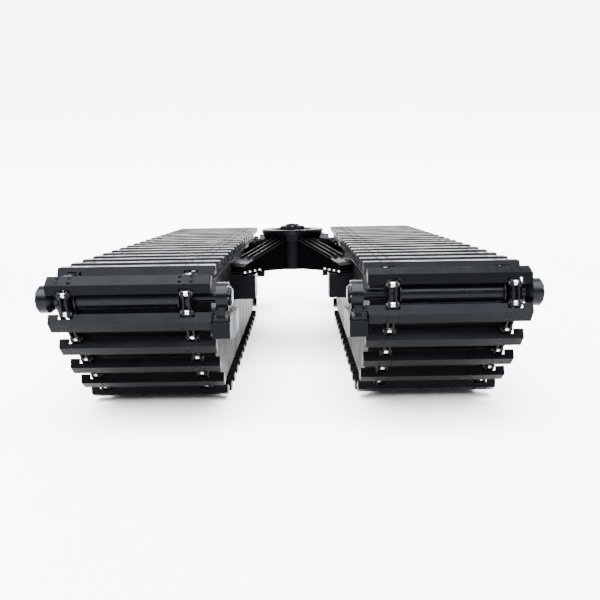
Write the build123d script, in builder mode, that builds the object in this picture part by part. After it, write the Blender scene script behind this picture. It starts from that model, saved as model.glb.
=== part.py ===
"""Amphibious tracked undercarriage: two pontoon hulls with chain tracks and a slewing centre frame.

Millimetres, +Z up, origin on the ground under the slewing axis. -Y is the idler end, +Y the drive end.
Pieces of one side are drawn on the right (+X) and mirrored to the left, apart from the tracks, whose
chains stand at a slightly different phase on each side.
"""

import os
from math import acos, atan2, cos, degrees, hypot, radians, sin

from build123d import *

# ---- driving dimensions -------------------------------------------------------------------------

PITCH = 190.0  # chain pitch, pin to pin
LINKS = 86  # links in one loop, every second one carries a shoe
WHEEL_R = PITCH  # pin circle of a wheel that six links go round
WHEEL_Y = 3589.3  # axle distance from the middle
WHEEL_Z = 1356.0  # axle height
BOW_HEADING = 52.0  # slope of the bow where the chain leaves the wheel
BEND_HEADING = 34.0  # slope of the bow where it turns into the keel
BEND_R = 613.0  # pin line radius of that turn
SHOE_FACE = 95.0  # outer face of a shoe above the pin line

CHAIN_IN = 970.0  # |x| of the inner and outer chain centre lines
CHAIN_OUT = 2120.0
SHOE_IN = 738.0  # |x| of the shoe ends
SHOE_OUT = 2288.0
HULL_IN = 800.0  # |x| of the hull sides
HULL_OUT = 2200.0
HULL_GAP = 62.0  # hull plating below the pin line
PLATE = 8.0  # hull plating
DECK_T = 10.0
DECK_LIP = 35.0
DECK_Y = 3300.0  # half length of the deck
NOSE_Z = 1120.0  # shelf under each axle

SIDES = {"left": -1, "right": 1}
PHASE = {"left": 204.6, "right": 149.5}  # chain position along its loop

TOP_Z = WHEEL_Z + WHEEL_R  # pin line of the top run
KEEL_Z = SHOE_FACE  # pin line of the ground run

# ---- pin line -----------------------------------------------------------------------------------


def c(angle):
    """Cosine of an angle in degrees."""
    return cos(radians(angle))


def s(angle):
    """Sine of an angle in degrees."""
    return sin(radians(angle))


BOW_DROP = WHEEL_Z - WHEEL_R * c(BOW_HEADING) - KEEL_Z - BEND_R * (1 - c(BEND_HEADING))
BOW_R = BOW_DROP / (c(BEND_HEADING) - c(BOW_HEADING))
BOW_CENTRE = (
    -WHEEL_Y + (BOW_R - WHEEL_R) * s(BOW_HEADING),
    WHEEL_Z + (BOW_R - WHEEL_R) * c(BOW_HEADING),
)
KEEL_Y = WHEEL_Y + WHEEL_R * s(BOW_HEADING) - BOW_R * (s(BOW_HEADING) - s(BEND_HEADING))
KEEL_Y -= BEND_R * s(BEND_HEADING)

# Length and turn of each stretch of the loop, forward from the middle of the top run.
FRONT_PATH = [
    (WHEEL_Y, 0),
    (WHEEL_R * radians(180 - BOW_HEADING), 180 - BOW_HEADING),
    (BOW_R * radians(BOW_HEADING - BEND_HEADING), BOW_HEADING - BEND_HEADING),
    (BEND_R * radians(BEND_HEADING), BEND_HEADING),
    (KEEL_Y, 0),
]
TRACK_PATH = FRONT_PATH + FRONT_PATH[::-1]
LOOP_LENGTH = sum(length for length, turn in TRACK_PATH)


def pin_line(distance):
    """Point (y, z) of the pin line at a distance along the loop."""
    y, z, heading = 0.0, TOP_Z, 0.0
    left = distance % LOOP_LENGTH
    for length, turn in TRACK_PATH:
        step = min(left, length)
        bent = heading + turn * step / length
        if turn:
            radius = length / radians(turn)
            y -= radius * (s(bent) - s(heading))
            z += radius * (c(bent) - c(heading))
        else:
            y -= step * c(heading)
            z -= step * s(heading)
        heading, left = bent, left - step
        if left <= 0:
            break
    return y, z


def next_pin(distance, pitch):
    """Distance along the loop of the pin one chord further on."""
    here = pin_line(distance)
    low, high = distance + 0.9 * pitch, distance + 1.2 * pitch
    for _ in range(40):
        middle = (low + high) / 2
        there = pin_line(middle)
        if hypot(there[0] - here[0], there[1] - here[1]) < pitch:
            low = middle
        else:
            high = middle
    return (low + high) / 2


def closed_chain(start):
    """Pins of a whole chain, with the pitch eased by a hair so that the loop closes."""
    low, high = 0.995 * PITCH, 1.005 * PITCH
    for _ in range(30):
        pitch = (low + high) / 2
        distances = [start]
        for _ in range(LINKS):
            distances.append(next_pin(distances[-1], pitch))
        if distances[-1] - start < LOOP_LENGTH:
            low = pitch
        else:
            high = pitch
    return [pin_line(distance) for distance in distances[:LINKS]]


def link_frames(pins):
    """Frame of each link: x across, y back along the chain, z out of the loop."""
    frames = []
    for here, there in zip(pins, pins[1:] + pins[:1]):
        heading = degrees(atan2(here[1] - there[1], here[0] - there[0]))
        middle = (0, (here[0] + there[0]) / 2, (here[1] + there[1]) / 2)
        frames.append(Location(middle, (heading, 0, 0)))
    return frames


PINS = {side: closed_chain(PHASE[side]) for side in SIDES}
FRAMES = {side: link_frames(PINS[side]) for side in SIDES}


def chain_places(every, first, offsets=((0, 0, 0),)):
    """Places on all four chains: at every such link from the first, at offsets in its own frame."""
    places = []
    for side, sign in SIDES.items():
        for frame in FRAMES[side][first::every]:
            for chain_x in (sign * CHAIN_IN, sign * CHAIN_OUT):
                for x, y, z in offsets:
                    places.append(frame * Location((chain_x + x, y, z)))
    return places


# ---- writing the pieces -------------------------------------------------------------------------

os.makedirs("parts", exist_ok=True)


def write(piece, label):
    """One node: a labelled STEP file."""
    piece.label = label
    export_step(piece, f"parts/{label}.step", write_pcurves=False)


def write_pair(piece, label):
    """A right-hand node and its mirror image on the left."""
    write(piece, f"right_{label}")
    write(piece.mirror(Plane.YZ), f"left_{label}")


def across(x):
    """Plane at x whose sketch axes are +Y and +Z; extrusions go towards +X."""
    return Plane.YZ.offset(x)


def outline(*points):
    """Flat face through its corner points."""
    with BuildSketch() as face:
        with BuildLine():
            Polyline(*points, close=True)
        make_face()
    return face.sketch


def slab(plane, face, amount, mode=Mode.ADD):
    """Face drawn on a plane and thickened along its normal."""
    with BuildSketch(plane, mode=Mode.PRIVATE) as placed:
        add(face)
    extrude(placed.sketch, amount=amount, mode=mode)


def tube(x0, x1, outer, inner, y, z, mode=Mode.ADD):
    """Round body along X from x0 to x1, bored when inner isn't 0."""
    with BuildSketch(across(x0), mode=Mode.PRIVATE) as ring:
        with Locations((y, z)):
            Circle(outer)
            if inner:
                Circle(inner, mode=Mode.SUBTRACT)
    extrude(ring.sketch, amount=x1 - x0, mode=mode)


# ---- track chains -------------------------------------------------------------------------------

PIN_R = 20.0
BUSH_R = 30.0
FIT = 0.05  # radial play of a running fit
LINK_H = 42.0  # half height of a link plate
NARROW_X = 20.0  # inner face of a narrow plate from the chain's middle
WIDE_X = 35.0
LINK_T = 14.0
PIN_END = 62.0
PAD_X = 80.0  # half size of the pad under a shoe, across and along
PAD_Y = 50.0
SHOE_T = 8.0
PAD_TOP = SHOE_FACE - SHOE_T
BOLT_X = 56.5  # shoe bolts from the chain's middle, across and along
BOLT_Y = 30.0
BOLT_R = 10.0
BOLT_HEAD_R = 15.5
BOLT_END = LINK_H + 2.0

with BuildPart() as narrow_plate:
    with BuildSketch(across(NARROW_X)):
        SlotCenterToCenter(PITCH, 2 * LINK_H)
        with Locations((-PITCH / 2, 0), (PITCH / 2, 0)):
            Circle(BUSH_R + FIT, mode=Mode.SUBTRACT)
    extrude(amount=LINK_T)
    mirror(about=Plane.YZ)

with BuildPart() as narrow_link_plates:
    with Locations(*chain_places(2, 1)):
        add(narrow_plate.part)
write(narrow_link_plates.part, "narrow_link_plates")

with BuildPart() as wide_plate:
    with BuildSketch(across(WIDE_X)):
        SlotCenterToCenter(PITCH, 2 * LINK_H)
        with Locations((-PITCH / 2, 0), (PITCH / 2, 0)):
            Circle(PIN_R + FIT, mode=Mode.SUBTRACT)
    extrude(amount=LINK_T)
    mirror(about=Plane.YZ)

with BuildPart() as wide_link_plates:
    with Locations(*chain_places(2, 0)):
        add(wide_plate.part)
write(wide_link_plates.part, "wide_link_plates")

# Each shoe stands on a pad block on top of its wide plates, and is bolted into it.
with BuildPart() as shoe_pad:
    with Locations((0, 0, (LINK_H + PAD_TOP) / 2)):
        Box(2 * PAD_X, 2 * PAD_Y, PAD_TOP - LINK_H)
    with Locations(Plane.XY.offset(PAD_TOP)):
        with GridLocations(2 * BOLT_X, 2 * BOLT_Y, 2, 2):
            Hole(BOLT_R + FIT)

with BuildPart() as shoe_pads:
    with Locations(*chain_places(2, 0)):
        add(shoe_pad.part)
write(shoe_pads.part, "shoe_pads")

with BuildPart() as chain_bushing:
    tube(-NARROW_X - LINK_T, NARROW_X + LINK_T, BUSH_R, PIN_R + FIT, 0, 0)

with BuildPart() as chain_bushings:
    with Locations(*chain_places(2, 1, ((0, -PITCH / 2, 0), (0, PITCH / 2, 0)))):
        add(chain_bushing.part)
write(chain_bushings.part, "chain_bushings")

with BuildPart() as chain_pins:
    with Locations(*chain_places(2, 1, ((0, -PITCH / 2, 0), (0, PITCH / 2, 0)))):
        Cylinder(PIN_R, 2 * PIN_END, rotation=(0, 90, 0))
write(chain_pins.part, "chain_pins")

with BuildPart() as shoe_bolt:
    with BuildSketch(Plane.XZ):
        with BuildLine():
            Polyline(
                (0, BOLT_END),
                (BOLT_R, BOLT_END),
                (BOLT_R, PAD_TOP),
                (BOLT_HEAD_R, SHOE_FACE - 2),
                (0, SHOE_FACE - 2),
                close=True,
            )
        make_face()
    revolve(axis=Axis.Z)

BOLT_OFFSETS = [(x, y, 0) for x in (-BOLT_X, BOLT_X) for y in (-BOLT_Y, BOLT_Y)]
with BuildPart() as shoe_bolts:
    with Locations(*chain_places(2, 0, BOLT_OFFSETS)):
        add(shoe_bolt.part)
write(shoe_bolts.part, "shoe_bolts")

# ---- track shoes --------------------------------------------------------------------------------

SHOE_TOP_Y = 60.0  # half width of a shoe's outer face and of its foot
SHOE_FOOT_Y = 100.0
SHOE_FOOT_Z = 5.0
SHOE_END_T = 10.0
NOTCH_X = 70.0  # gap in a shoe's walls where the chain passes
NOTCH_Z = 50.0
SHOE_LENGTH = SHOE_OUT - SHOE_IN
SHOE_CHAMFER = 8.0


def shoe_section(wall):
    """Half-hexagon section of a shoe, wall thick inside its outer faces."""
    slope = (SHOE_FOOT_Y - SHOE_TOP_Y) / (SHOE_FACE - SHOE_FOOT_Z)
    side = wall * hypot(1, slope)
    top = SHOE_TOP_Y + slope * wall - side
    return outline(
        (-SHOE_FOOT_Y + side, SHOE_FOOT_Z),
        (SHOE_FOOT_Y - side, SHOE_FOOT_Z),
        (top, SHOE_FACE - wall),
        (-top, SHOE_FACE - wall),
    )


with BuildPart() as shoe:
    slab(across(SHOE_IN), shoe_section(0), SHOE_LENGTH)
    ends = shoe.faces().group_by(Axis.Z)[-1].edges().filter_by(Axis.Y)
    chamfer(ends, SHOE_CHAMFER)
    end = SHOE_END_T + SHOE_CHAMFER
    slab(across(SHOE_IN + end), shoe_section(SHOE_T), SHOE_LENGTH - 2 * end, mode=Mode.SUBTRACT)
    with Locations((CHAIN_IN, 0, NOTCH_Z / 2), (CHAIN_OUT, 0, NOTCH_Z / 2)):
        Box(2 * NOTCH_X, 3 * SHOE_FOOT_Y, NOTCH_Z, mode=Mode.SUBTRACT)
    with Locations(Plane.XY.offset(SHOE_FACE)):
        with Locations((CHAIN_IN, 0), (CHAIN_OUT, 0)):
            with GridLocations(2 * BOLT_X, 2 * BOLT_Y, 2, 2):
                CounterSinkHole(BOLT_R + 0.5, BOLT_HEAD_R + 2, depth=2 * SHOE_T)

for side, sign in SIDES.items():
    with BuildPart() as track_shoes:
        with Locations(*FRAMES[side][0::2]):
            add(shoe.part if sign > 0 else shoe.part.mirror(Plane.YZ))
    write(track_shoes.part, f"{side}_track_shoes")

# ---- hulls --------------------------------------------------------------------------------------


def bow_point(heading, below):
    """Point of the bow, below the pin line, where its slope is the heading."""
    radius = BOW_R - below
    return BOW_CENTRE[0] - radius * s(heading), BOW_CENTRE[1] - radius * c(heading)


def bend_point(heading, below):
    """Point of the turn into the keel, below the pin line, where its slope is the heading."""
    radius = BEND_R - below
    return -KEEL_Y - radius * s(heading), KEEL_Z + BEND_R - radius * c(heading)


def heading_at(z, below):
    """Slope of the bow, below the pin line, at a height."""
    return degrees(acos((BOW_CENTRE[1] - z) / (BOW_R - below)))


def hull_section(inside):
    """Side view of a hull: deck, shelf under each axle, bow, keel and stern."""
    below = HULL_GAP + inside
    nose_z = NOSE_Z - inside
    nose = heading_at(nose_z, below)
    deck = TOP_Z - HULL_GAP - DECK_T
    deck_y = DECK_Y - inside
    keel_z = KEEL_Z + below
    with BuildSketch() as section:
        with BuildLine():
            Line((0, deck), (-deck_y, deck))
            Line((-deck_y, deck), (-deck_y, nose_z))
            Line((-deck_y, nose_z), bow_point(nose, below))
            ThreePointArc(
                bow_point(nose, below),
                bow_point((nose + BEND_HEADING) / 2, below),
                bow_point(BEND_HEADING, below),
            )
            ThreePointArc(
                bend_point(BEND_HEADING, below),
                bend_point(BEND_HEADING / 2, below),
                bend_point(0, below),
            )
            Line(bend_point(0, below), (0, keel_z))
            mirror(about=Plane.YZ)
        make_face()
    return section.sketch


HULL_MID = (HULL_IN + HULL_OUT) / 2
HULL_WIDTH = HULL_OUT - HULL_IN
DECK_Z = TOP_Z - HULL_GAP
HATCH_R = 190.0
HATCH_HOLE_R = 160.0
HATCH_T = 12.0
HATCH_Y = (-2200.0, 0.0, 2200.0)
BULKHEAD_Y = (-1650.0, -550.0, 550.0, 1650.0)

with BuildPart() as hull_tub:
    slab(across(HULL_IN), hull_section(0), HULL_WIDTH)
    slab(across(HULL_IN + PLATE), hull_section(PLATE), HULL_WIDTH - 2 * PLATE, mode=Mode.SUBTRACT)
write_pair(hull_tub.part, "hull_tub")

with BuildPart() as hull_deck:
    with BuildSketch(Plane.XY.offset(DECK_Z - DECK_T)):
        with Locations((HULL_MID - DECK_LIP / 2, 0)):
            Rectangle(HULL_WIDTH + DECK_LIP, 2 * DECK_Y)
        with Locations(*[(HULL_MID, y) for y in HATCH_Y]):
            Circle(HATCH_HOLE_R, mode=Mode.SUBTRACT)
    extrude(amount=DECK_T)
write_pair(hull_deck.part, "hull_deck")

with BuildPart() as deck_hatches:
    with Locations(*[(sign * HULL_MID, y, DECK_Z) for sign in SIDES.values() for y in HATCH_Y]):
        Cylinder(HATCH_R, HATCH_T, align=(Align.CENTER, Align.CENTER, Align.MIN))
    chamfer(deck_hatches.faces().sort_by(Axis.Z)[-6:].edges(), 3)
write(deck_hatches.part, "deck_hatches")

BULKHEAD_Z = KEEL_Z + HULL_GAP + PLATE
BULKHEAD_H = DECK_Z - DECK_T - BULKHEAD_Z
with BuildPart() as hull_bulkheads:
    for y in BULKHEAD_Y:
        with BuildSketch(Plane.XZ.offset(-y)):
            with Locations((-HULL_MID, BULKHEAD_Z + BULKHEAD_H / 2), (HULL_MID, BULKHEAD_Z + BULKHEAD_H / 2)):
                Rectangle(HULL_WIDTH - 2 * PLATE, BULKHEAD_H)
                Circle(BULKHEAD_H / 4, mode=Mode.SUBTRACT)
        extrude(amount=PLATE / 2, both=True)
write(hull_bulkheads.part, "hull_bulkheads")

# Wear rails carry the chains: flat on deck and keel, curved on bow and stern.
RAIL_X = 50.0
RAIL_TOP = LINK_H + 1.5  # rail face below the pin line on a nearly straight run
BEND_RAIL_TOP = LINK_H + 9.0
RAIL_START = heading_at(NOSE_Z - 30, HULL_GAP)


def rail_band(point, first, last, high):
    """Strip of rail along a curved stretch, from one slope to another."""
    middle = (first + last) / 2
    low = HULL_GAP
    with BuildSketch() as band:
        with BuildLine():
            ThreePointArc(point(first, high), point(middle, high), point(last, high))
            Line(point(last, high), point(last, low))
            ThreePointArc(point(last, low), point(middle, low), point(first, low))
            Line(point(first, low), point(first, high))
        make_face()
        mirror(about=Plane.YZ)
    return band.sketch


BOW_RAIL = rail_band(bow_point, RAIL_START, BEND_HEADING + degrees(PITCH / BOW_R), RAIL_TOP)
BEND_RAIL = rail_band(bend_point, BEND_HEADING, 0, BEND_RAIL_TOP)
RAIL_H = HULL_GAP - RAIL_TOP

with BuildPart() as chain_rails:
    for x in [sign * chain for sign in SIDES.values() for chain in (CHAIN_IN, CHAIN_OUT)]:
        slab(across(x - RAIL_X), BOW_RAIL, 2 * RAIL_X)
        slab(across(x - RAIL_X), BEND_RAIL, 2 * RAIL_X)
        with Locations((x, 0, DECK_Z + RAIL_H / 2)):
            Box(2 * RAIL_X, 2 * DECK_Y, RAIL_H)
        with Locations((x, 0, KEEL_Z + RAIL_TOP + RAIL_H / 2)):
            Box(2 * RAIL_X, 2 * (KEEL_Y - PITCH), RAIL_H)
write(chain_rails.part, "chain_rails")

# ---- axles --------------------------------------------------------------------------------------

SHAFT_R = 60.0
SHAFT_IN = 625.0
SHAFT_OUT = 2385.0
DRUM_R = 115.0
DRUM_DISC_R = 150.0
DRUM_DISC_T = 12.0
DRUM_IN = CHAIN_IN + 75.0
DRUM_OUT = CHAIN_OUT - 75.0
DRUM_WALL = 12.0
WHEEL_T = 34.0  # wheels run between the narrow plates, under the bushings
WHEEL_GAP = 0.4
HUB_R = 80.0
HUB_X = 50.0

with BuildPart() as idler_shaft:
    tube(SHAFT_IN, SHAFT_OUT, SHAFT_R, 0, -WHEEL_Y, WHEEL_Z)
write_pair(idler_shaft.part, "idler_shaft")

with BuildPart() as idler_drum:
    for x in (DRUM_IN, DRUM_OUT - DRUM_DISC_T):
        tube(x, x + DRUM_DISC_T, DRUM_DISC_R, SHAFT_R + FIT, -WHEEL_Y, WHEEL_Z)
    tube(DRUM_IN + DRUM_DISC_T, DRUM_OUT - DRUM_DISC_T, DRUM_R, DRUM_R - DRUM_WALL, -WHEEL_Y, WHEEL_Z)
write_pair(idler_drum.part, "idler_drum")

with BuildPart() as idler_wheels:
    for x in (CHAIN_IN, CHAIN_OUT):
        tube(x - WHEEL_T / 2, x + WHEEL_T / 2, WHEEL_R - BUSH_R - WHEEL_GAP, SHAFT_R + FIT, -WHEEL_Y, WHEEL_Z)
        tube(x - HUB_X, x - WHEEL_T / 2, HUB_R, SHAFT_R + FIT, -WHEEL_Y, WHEEL_Z)
        tube(x + WHEEL_T / 2, x + HUB_X, HUB_R, SHAFT_R + FIT, -WHEEL_Y, WHEEL_Z)
write_pair(idler_wheels.part, "idler_wheels")

# ---- idler carriages: bearing housings that slide back along the hull -----------------------------

HOUSING_IN = (605.0, 700.0)  # inboard bearing housing
HOUSING_R = 140.0
FOOT_X = (580.0, 725.0)
FOOT_Y = 190.0
SEAT_Z = 1139.0
FOOT_Z = SEAT_Z + 0.5
FOOT_T = 30.0
PEDESTAL_Y = 110.0
CAP_R = 135.0  # outboard bearing
CAP_X = (2310.0, 2400.0)
CONE_R = 85.0
ARM_X = (2208.0, 2245.0)
ARM_R = 95.0
ARM_LENGTH = 420.0
ARM_Z = (1156.0, 1306.0)
ROD_R = 20.0
ROD_Z = (ARM_Z[0] + ARM_Z[1]) / 2
ROD_IN_X = 652.0
ROD_OUT_X = 2240.0


def inboard_housing(y):
    """Pillow block on a foot, standing on the seat inboard of the hull."""
    tube(*HOUSING_IN, HOUSING_R, 0, y, WHEEL_Z)
    with Locations(((HOUSING_IN[0] + HOUSING_IN[1]) / 2, y, (FOOT_Z + WHEEL_Z) / 2)):
        Box(HOUSING_IN[1] - HOUSING_IN[0] - 20, 2 * PEDESTAL_Y, WHEEL_Z - FOOT_Z)
    with Locations(((FOOT_X[0] + FOOT_X[1]) / 2, y, FOOT_Z + FOOT_T / 2)):
        Box(FOOT_X[1] - FOOT_X[0], 2 * FOOT_Y, FOOT_T)
    tube(*HOUSING_IN, SHAFT_R + FIT, 0, y, WHEEL_Z, mode=Mode.SUBTRACT)


def outboard_housing(y, back):
    """Bearing cap with a conical neck on an arm beside the hull; back is +1 or -1 along Y."""
    neck = outline(
        (ARM_X[0], 0),
        (ARM_X[0], ARM_R),
        (ARM_X[1], ARM_R),
        (ARM_X[1] + 1, CONE_R),
        (CAP_X[0], CAP_R),
        (CAP_X[1], CAP_R),
        (CAP_X[1], 0),
    )
    with BuildSketch(Plane(origin=(0, y, WHEEL_Z)), mode=Mode.PRIVATE) as placed:
        add(neck)
    revolve(placed.sketch, axis=Axis((0, y, WHEEL_Z), (1, 0, 0)))
    arm = outline(
        (y - back * ARM_R * s(45), WHEEL_Z - ARM_R * c(45)),
        (y, WHEEL_Z),
        (y + back * ARM_R * s(45), WHEEL_Z + ARM_R * c(45) / 2),
        (y + back * (ARM_R + 110), ARM_Z[1]),
        (y + back * ARM_LENGTH, ARM_Z[1]),
        (y + back * ARM_LENGTH, ARM_Z[0]),
        (y + back * 60, ARM_Z[0]),
    )
    slab(across(ARM_X[0]), arm, ARM_X[1] - ARM_X[0])
    tube(ARM_X[0], CAP_X[1], SHAFT_R + FIT, 0, y, WHEEL_Z, mode=Mode.SUBTRACT)


with BuildPart() as idler_bearings:
    inboard_housing(-WHEEL_Y)
    outboard_housing(-WHEEL_Y, 1)
write_pair(idler_bearings.part, "idler_bearings")

COVER_T = 18.0
DOME_R = 92.0
DOME_T = 36.0
COVER_OUT_R = 118.0
COVER_BOLTS = 8
COVER_BOLT_R = 116.0  # bolt circle of the inboard cover
COVER_OUT_BOLT_R = 96.0
GREASE_HOLE_R = 9.0


def inboard_cover(y):
    """Round cover with a raised dome and a grease hole."""
    tube(HOUSING_IN[0] - COVER_T, HOUSING_IN[0], HOUSING_R, 0, y, WHEEL_Z)
    dome_x = HOUSING_IN[0] - COVER_T - DOME_T
    tube(dome_x, HOUSING_IN[0] - COVER_T, DOME_R, 0, y, WHEEL_Z)


def outboard_cover(y):
    """Flat round cover on the outboard cap."""
    tube(CAP_X[1], CAP_X[1] + COVER_T, COVER_OUT_R, 0, y, WHEEL_Z)


with BuildPart() as idler_covers:
    inboard_cover(-WHEEL_Y)
    chamfer(idler_covers.faces().sort_by(Axis.X)[0].edges(), 14)
    dome_x = HOUSING_IN[0] - COVER_T - DOME_T
    tube(dome_x, dome_x + DOME_T / 2, GREASE_HOLE_R, 0, -WHEEL_Y, WHEEL_Z, mode=Mode.SUBTRACT)
    outboard_cover(-WHEEL_Y)
    chamfer(idler_covers.faces().sort_by(Axis.X)[-1].edges(), 5)
write_pair(idler_covers.part, "idler_covers")

HEAD_R = 12.0
HEAD_T = 8.0


def round_bolts(x, circle, y):
    """Heads of the bolts that hold a cover, sitting on its face."""
    with BuildSketch(across(x), mode=Mode.PRIVATE) as heads:
        with Locations((y, WHEEL_Z)):
            with PolarLocations(circle, COVER_BOLTS):
                RegularPolygon(HEAD_R, 6)
    extrude(heads.sketch, amount=HEAD_T)


with BuildPart() as idler_bolts:
    round_bolts(HOUSING_IN[0] - COVER_T - HEAD_T, COVER_BOLT_R, -WHEEL_Y)
    round_bolts(CAP_X[1] + COVER_T, COVER_OUT_BOLT_R, -WHEEL_Y)
write_pair(idler_bolts.part, "idler_bolts")

ROD_LENGTH = 220.0
ROD_IN_START = -WHEEL_Y + PEDESTAL_Y
ROD_OUT_START = -WHEEL_Y + ARM_LENGTH
CYLINDER_R = 40.0
CYLINDER_LENGTH = 330.0
CYLINDER_START = 120.0  # free rod between the bearing and its cylinder
CYLINDER_BORE = 250.0
TENSIONERS = ((ROD_IN_X, ROD_IN_START), (ROD_OUT_X, ROD_OUT_START))

with BuildPart() as tension_rods:
    for x, start in TENSIONERS:
        with Locations(Location((x, start, ROD_Z), (-90, 0, 0))):
            Cylinder(ROD_R, ROD_LENGTH, align=(Align.CENTER, Align.CENTER, Align.MIN))
write_pair(tension_rods.part, "tension_rods")

with BuildPart() as tension_cylinders:
    for x, start in TENSIONERS:
        with Locations(Location((x, start + CYLINDER_START, ROD_Z), (-90, 0, 0))):
            Cylinder(CYLINDER_R, CYLINDER_LENGTH, align=(Align.CENTER, Align.CENTER, Align.MIN))
    saddle_y = ROD_IN_START + CYLINDER_START + CYLINDER_LENGTH / 2
    with Locations((ROD_IN_X, saddle_y, (SEAT_Z + ROD_Z) / 2)):
        Box(2 * CYLINDER_R, CYLINDER_LENGTH / 2, ROD_Z - SEAT_Z)
    saddle_y = ROD_OUT_START + CYLINDER_START + CYLINDER_LENGTH / 2
    with Locations(((HULL_OUT + ROD_OUT_X) / 2, saddle_y, ROD_Z)):
        Box(ROD_OUT_X - HULL_OUT, CYLINDER_LENGTH / 2, 2 * CYLINDER_R + 30)
    for x, start in TENSIONERS:
        with Locations(Location((x, start + CYLINDER_START, ROD_Z), (-90, 0, 0))):
            Cylinder(
                ROD_R + FIT,
                CYLINDER_BORE,
                align=(Align.CENTER, Align.CENTER, Align.MIN),
                mode=Mode.SUBTRACT,
            )
write_pair(tension_cylinders.part, "tension_cylinders")

# ---- axle seats on the hull -----------------------------------------------------------------------

SEAT_X = (562.0, 732.0)
SEAT_FRONT = WHEEL_Y + 230.0
SEAT_BACK = WHEEL_Y - 640.0
SEAT_WEB_T = 20.0
SEAT_TIP = 150.0
SEAT_DROP = 230.0
SEAT_LINK_H = 210.0
KEEPER_H = 14.0
KEEPER_Y = 180.0
GUIDE_Y = (DECK_Y - 500.0, DECK_Y)
GUIDE_H = 30.0
GUIDE_X = 2262.0


def seat_section(way, wall):
    """Side view of a bracket under a bearing, way -1 in front and +1 behind."""
    return outline(
        (way * (SEAT_BACK + wall), SEAT_Z - wall),
        (way * (SEAT_FRONT - wall), SEAT_Z - wall),
        (way * (SEAT_FRONT - wall), SEAT_Z - SEAT_TIP + wall / 2),
        (way * (WHEEL_Y - 150 - wall / 2), SEAT_Z - SEAT_DROP + wall),
        (way * (SEAT_BACK + wall), SEAT_Z - SEAT_DROP + wall),
    )


def inboard_seat():
    """Welded bracket beside the hull, with keepers over the long edges of the bearing's foot."""
    slab(across(SEAT_X[0]), seat_section(-1, 0), SEAT_X[1] - SEAT_X[0])
    inner = SEAT_X[0] + SEAT_WEB_T
    width = SEAT_X[1] - SEAT_X[0] - 2 * SEAT_WEB_T
    slab(across(inner), seat_section(-1, SEAT_WEB_T), width, mode=Mode.SUBTRACT)
    link_y = (-SEAT_BACK - DECK_Y) / 2
    with Locations(((SEAT_X[1] + HULL_IN) / 2, link_y, SEAT_Z - SEAT_LINK_H / 2)):
        Box(HULL_IN - SEAT_X[1], DECK_Y - SEAT_BACK, SEAT_LINK_H)
    for x, inner in ((SEAT_X[0], FOOT_X[0]), (SEAT_X[1], FOOT_X[1])):
        top = FOOT_Z + FOOT_T + 0.5
        lip = 8 if inner > x else -8
        outer_mid = (x + inner) / 2
        with Locations((outer_mid, -WHEEL_Y + 10, (SEAT_Z + top) / 2)):
            Box(abs(inner - x) - 1, 2 * KEEPER_Y, top - SEAT_Z)
        with Locations((outer_mid + lip / 2, -WHEEL_Y + 10, top + KEEPER_H / 2)):
            Box(abs(inner - x) - 1 + abs(lip), 2 * KEEPER_Y, KEEPER_H)


def outboard_guides():
    """Pair of channels beside the hull that hold the edges of the bearing's arm."""
    length = GUIDE_Y[1] - GUIDE_Y[0]
    middle = -(GUIDE_Y[0] + GUIDE_Y[1]) / 2
    for edge, way in ((ARM_Z[0], -1), (ARM_Z[1], 1)):
        with Locations(((HULL_OUT + GUIDE_X) / 2, middle, edge + way * (0.5 + GUIDE_H / 2))):
            Box(GUIDE_X - HULL_OUT, length, GUIDE_H)
        lip_x = (ARM_X[1] + 0.5 + GUIDE_X) / 2
        with Locations((lip_x, middle - 120, edge + way * (GUIDE_H / 2 - 7))):
            Box(GUIDE_X - ARM_X[1] - 0.5, length - 240, GUIDE_H + 14)


with BuildPart() as idler_seats:
    inboard_seat()
    outboard_guides()
write_pair(idler_seats.part, "idler_seats")

# ---- drive axle -----------------------------------------------------------------------------------

TEETH = 12  # two tooth gaps to a link, so every second gap is filled
TIP_R = 203.0
GAP_R = BUSH_R + 4.0
FLANGE_R = 112.0
FLANGE_T = 18.0
NECK_R = 85.0
DRIVE_CAVITY_R = 100.0
SPROCKET_BOLT_CIRCLE = 92.0
SPROCKET_BOLT_R = 9.0
SPROCKET_BOLTS = 8


def rear_pin_angle(side):
    """Angle about the drive axle, from +Y towards +Z, of a pin that lies on the sprocket."""
    seated = [(y - WHEEL_Y, z - WHEEL_Z) for y, z in PINS[side]]
    seated = [pin for pin in seated if pin[0] > 0 and abs(hypot(*pin) - WHEEL_R) < 0.01]
    return degrees(atan2(seated[0][1], seated[0][0]))


for side, sign in SIDES.items():
    with BuildPart() as sprockets:
        for x in (sign * CHAIN_IN, sign * CHAIN_OUT):
            with BuildSketch(across(x - WHEEL_T / 2)):
                with Locations((WHEEL_Y, WHEEL_Z)):
                    Circle(TIP_R)
                    Circle(SHAFT_R + FIT, mode=Mode.SUBTRACT)
                    with PolarLocations(WHEEL_R, TEETH, start_angle=rear_pin_angle(side)):
                        Circle(GAP_R, mode=Mode.SUBTRACT)
                        with Locations((20, 0)):
                            Trapezoid(2 * GAP_R + 38, 40, 64.6, rotation=90, mode=Mode.SUBTRACT)
                    with PolarLocations(SPROCKET_BOLT_CIRCLE, SPROCKET_BOLTS):
                        Circle(SPROCKET_BOLT_R + FIT, mode=Mode.SUBTRACT)
            extrude(amount=WHEEL_T)
    write(sprockets.part, f"{side}_sprockets")

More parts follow.
